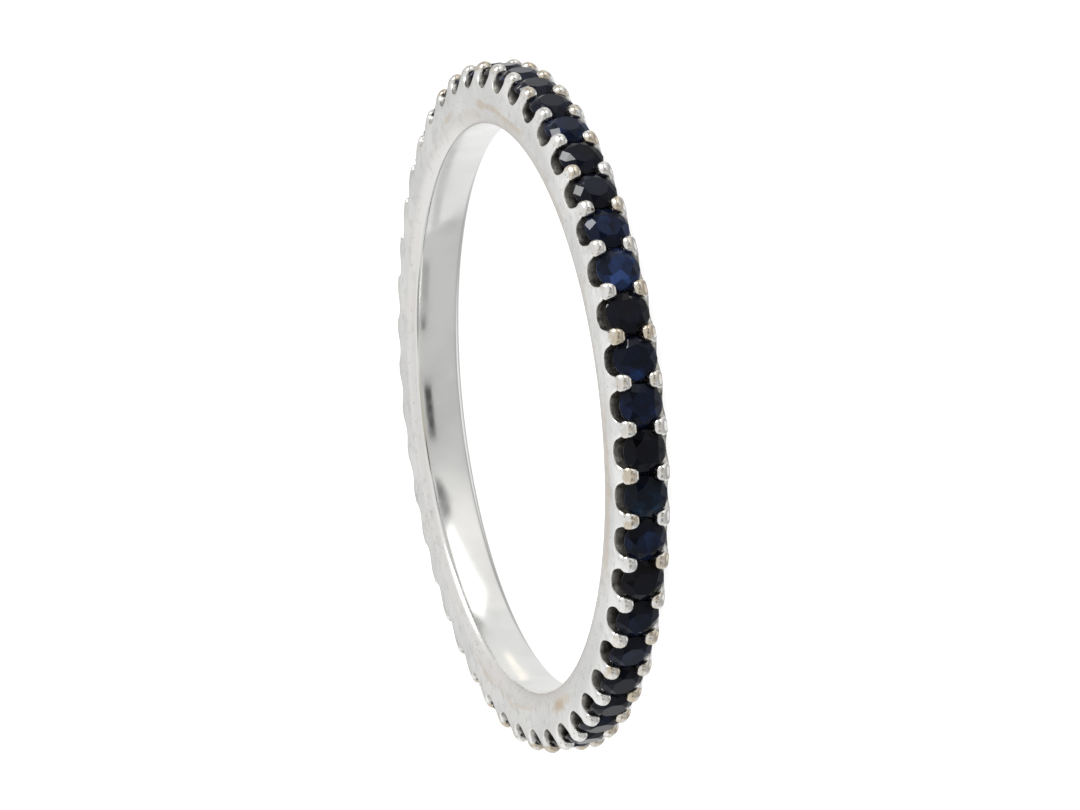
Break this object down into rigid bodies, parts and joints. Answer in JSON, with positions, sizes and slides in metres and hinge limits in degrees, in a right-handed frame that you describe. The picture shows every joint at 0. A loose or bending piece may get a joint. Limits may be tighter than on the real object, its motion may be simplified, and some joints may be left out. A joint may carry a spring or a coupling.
{
  "type": "eternity ring",
  "caption": "Slim full eternity ring: a polished white-metal band set all the way round with small round dark blue stones between shared claws; worn on a finger.",
  "frame": {"origin": "centre of the ring's lower side face, where it rests lying on its side", "axes": "+Z along the ring's axis, upwards from the side it rests on; a stone faces -Y"},
  "size_m": [0.0208, 0.0208, 0.0017],
  "materials": {
    "white_gold": "rhodium-bright polish",
    "sapphire": "faceted and polished"
  },
  "bodies": {
    "root": {"band": "white_gold", "stones": "sapphire"}
  },
  "joints": []
}
